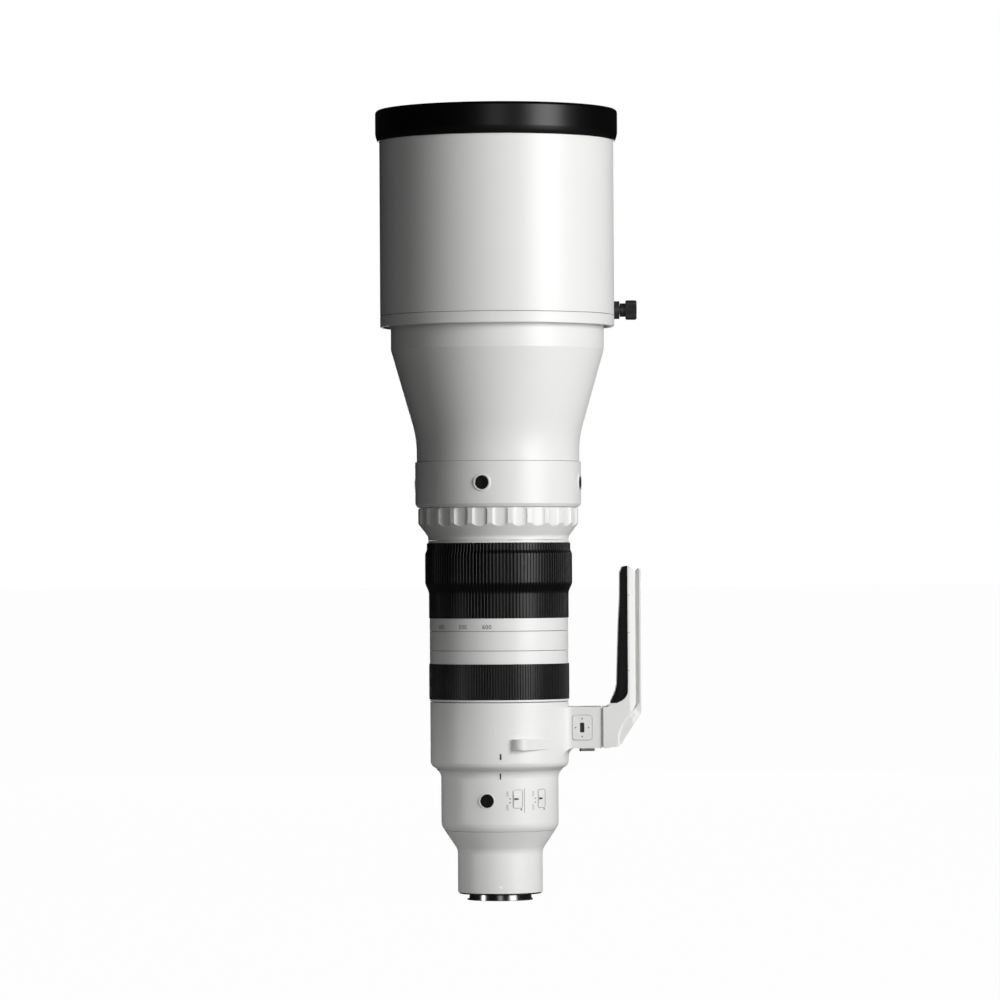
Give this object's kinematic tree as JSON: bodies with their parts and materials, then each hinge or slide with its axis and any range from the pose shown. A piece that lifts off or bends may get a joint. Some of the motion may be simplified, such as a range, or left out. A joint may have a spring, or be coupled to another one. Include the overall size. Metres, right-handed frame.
{
  "type": "camera zoom lens",
  "caption": "White super-telephoto zoom lens with a deep rubber-tipped hood, ribbed zoom and focus rings, a scalloped ring and a rotating tripod collar with a dovetail foot.",
  "frame": {"origin": "centre of the bayonet's flange face, on the optical axis", "axes": "+Z along the optical axis to the front, +X towards the tripod foot, -Y the right-hand side"},
  "size_m": [0.2063, 0.1904, 0.62],
  "materials": {
    "white_paint": "satin powder coat with a fine grain",
    "white_plastic": "satin",
    "black_rubber": "matte, ribbed",
    "grip_pad": "fine leather-like grain",
    "black_plastic": "matte",
    "button_plastic": "satin black",
    "grey_plastic": "satin grey",
    "black_metal": "black anodised",
    "bare_aluminium": "machined",
    "steel": "bright",
    "chrome": "polished and brushed",
    "brass": "gold plated",
    "circuit_board": "solder mask",
    "lens_glass": "coated"
  },
  "bodies": {
    "barrel": {"tail_barrel": "white_paint", "bayonet": "chrome", "mount_seal": "black_rubber", "mount_screws": "steel", "contact_block": "black_plastic", "contact_pins": "brass", "rear_baffle": "black_plastic", "rear_cell": "black_metal", "rear_lens": "lens_glass", "main_board": "circuit_board", "rear_barrel": "white_paint", "main_tube": "black_metal", "iris_unit": "black_metal", "guide_rods": "steel", "focus_motor": "bare_aluminium", "index_ring": "white_paint", "button_barrel": "white_paint", "front_barrel": "white_paint", "front_cell": "black_metal", "front_lens": "lens_glass", "front_ring": "black_metal"},
    "function_ring": {"function_ring": "white_paint"},
    "zoom": {"zoom_ring": "white_paint", "zoom_grip": "black_rubber", "cam_barrel": "bare_aluminium"},
    "variator": {"variator_cell": "black_metal", "variator_lens": "lens_glass"},
    "compensator": {"compensator_cell": "black_metal", "compensator_lens": "lens_glass"},
    "focus_ring": {"focus_ring": "white_paint", "focus_grip": "black_rubber"},
    "focus_group": {"focus_cell": "black_metal", "focus_lens": "lens_glass"},
    "stabiliser_frame": {"stabiliser_frame": "bare_aluminium"},
    "stabiliser_group": {"stabiliser_cell": "black_metal", "stabiliser_lens": "lens_glass"},
    "collar": {"collar_ring": "white_paint", "foot": "white_paint", "foot_pad": "grip_pad", "foot_screws": "steel", "security_plate": "white_paint", "strap_lugs": "white_paint"},
    "collar_knob": {"collar_knob": "black_plastic"},
    "click_switch": {"click_switch": "grey_plastic"},
    "hood": {"hood_tube": "white_paint", "hood_bumper": "black_rubber", "hood_lining": "black_plastic"},
    "hood_screw": {"hood_screw": "black_plastic"},
    "hold_button_1": {"hold_button_1": "button_plastic"},
    "hold_button_2": {"hold_button_2": "button_plastic"},
    "hold_button_3": {"hold_button_3": "button_plastic"},
    "hold_button_4": {"hold_button_4": "button_plastic"},
    "round_button": {"round_button": "button_plastic"},
    "right_switch_1": {"right_switch_1": "white_plastic"},
    "right_switch_2": {"right_switch_2": "white_plastic"},
    "left_switch_1": {"left_switch_1": "white_plastic"},
    "left_switch_2": {"left_switch_2": "white_plastic"},
    "left_switch_3": {"left_switch_3": "white_plastic"},
    "filter": {"filter_holder": "black_plastic", "filter_glass": "lens_glass"}
  },
  "joints": [
    {"name": "function_turn", "type": "hinge", "parent": "barrel", "child": "function_ring", "pos_m": [0, 0, 0.29], "axis": [0, 0, 1], "range_deg": [-10, 10], "stiffness_Nm_per_rad": 0.5},
    {"name": "zoom_turn", "type": "hinge", "parent": "barrel", "child": "zoom", "pos_m": [0, 0, 0.24], "axis": [0, 0, -1], "range_deg": [0, 80]},
    {"name": "variator_slide", "type": "slide", "parent": "barrel", "child": "variator", "axis": [0, 0, -1], "range_m": [0, 0.034]},
    {"name": "compensator_slide", "type": "slide", "parent": "barrel", "child": "compensator", "axis": [0, 0, 1], "range_m": [0, 0.014]},
    {"name": "focus_turn", "type": "hinge", "parent": "barrel", "child": "focus_ring", "pos_m": [0, 0, 0.17], "axis": [0, 0, 1], "continuous": true},
    {"name": "focus_slide", "type": "slide", "parent": "barrel", "child": "focus_group", "axis": [0, 0, 1], "range_m": [0, 0.02]},
    {"name": "stabiliser_x", "type": "slide", "parent": "barrel", "child": "stabiliser_frame", "axis": [1, 0, 0], "range_m": [-0.0015, 0.0015]},
    {"name": "stabiliser_y", "type": "slide", "parent": "stabiliser_frame", "child": "stabiliser_group", "axis": [0, 1, 0], "range_m": [-0.0015, 0.0015]},
    {"name": "collar_turn", "type": "hinge", "parent": "barrel", "child": "collar", "pos_m": [0, 0, 0.123], "axis": [0, 0, 1], "continuous": true},
    {"name": "collar_knob_turn", "type": "hinge", "parent": "collar", "child": "collar_knob", "pos_m": [0, 0.055, 0.1296], "axis": [0, 1, 0], "continuous": true},
    {"name": "click_slide", "type": "slide", "parent": "collar", "child": "click_switch", "axis": [1, 0, 0], "range_m": [-0.0015, 0.0015]},
    {"name": "hood_slide", "type": "slide", "parent": "barrel", "child": "hood", "axis": [0, 0, 1], "range_m": [0, 0.06]},
    {"name": "hood_screw_turn", "type": "hinge", "parent": "hood", "child": "hood_screw", "pos_m": [0.096, 0, 0.4575], "axis": [1, 0, 0], "continuous": true},
    {"name": "round_button_push", "type": "slide", "parent": "barrel", "child": "round_button", "axis": [0.2181, 0.9759, 0], "range_m": [0, 0.0008], "stiffness_N_per_m": 800, "springref_m": -0.0006},
    {"name": "filter_slide", "type": "slide", "parent": "barrel", "child": "filter", "axis": [0, 1, 0], "range_m": [0, 0.06]},
    {"name": "hold_button_1_push", "type": "slide", "parent": "barrel", "child": "hold_button_1", "axis": [0.1942, 0.981, 0], "range_m": [0, 0.0008], "stiffness_N_per_m": 800, "springref_m": -0.0006},
    {"name": "hold_button_2_push", "type": "slide", "parent": "barrel", "child": "hold_button_2", "axis": [-0.981, 0.1942, 0], "range_m": [0, 0.0008], "stiffness_N_per_m": 800, "springref_m": -0.0006},
    {"name": "hold_button_3_push", "type": "slide", "parent": "barrel", "child": "hold_button_3", "axis": [-0.1942, -0.981, 0], "range_m": [0, 0.0008], "stiffness_N_per_m": 800, "springref_m": -0.0006},
    {"name": "hold_button_4_push", "type": "slide", "parent": "barrel", "child": "hold_button_4", "axis": [0.981, -0.1942, 0], "range_m": [0, 0.0008], "stiffness_N_per_m": 800, "springref_m": -0.0006},
    {"name": "right_switch_1_slide", "type": "slide", "parent": "barrel", "child": "right_switch_1", "axis": [0, 0, 1], "range_m": [-0.0026, 0.0026]},
    {"name": "right_switch_2_slide", "type": "slide", "parent": "barrel", "child": "right_switch_2", "axis": [0, 0, 1], "range_m": [-0.0026, 0.0026]},
    {"name": "left_switch_1_slide", "type": "slide", "parent": "barrel", "child": "left_switch_1", "axis": [0, 0, 1], "range_m": [-0.0026, 0.0026]},
    {"name": "left_switch_2_slide", "type": "slide", "parent": "barrel", "child": "left_switch_2", "axis": [0, 0, 1], "range_m": [-0.0026, 0.0026]},
    {"name": "left_switch_3_slide", "type": "slide", "parent": "barrel", "child": "left_switch_3", "axis": [0, 0, 1], "range_m": [-0.0026, 0.0026]}
  ],
  "couplings": [
    {"joint": "variator_slide", "follows": "zoom_turn", "m_per_rad": 0.02435},
    {"joint": "compensator_slide", "follows": "zoom_turn", "m_per_rad": 0.010026}
  ]
}
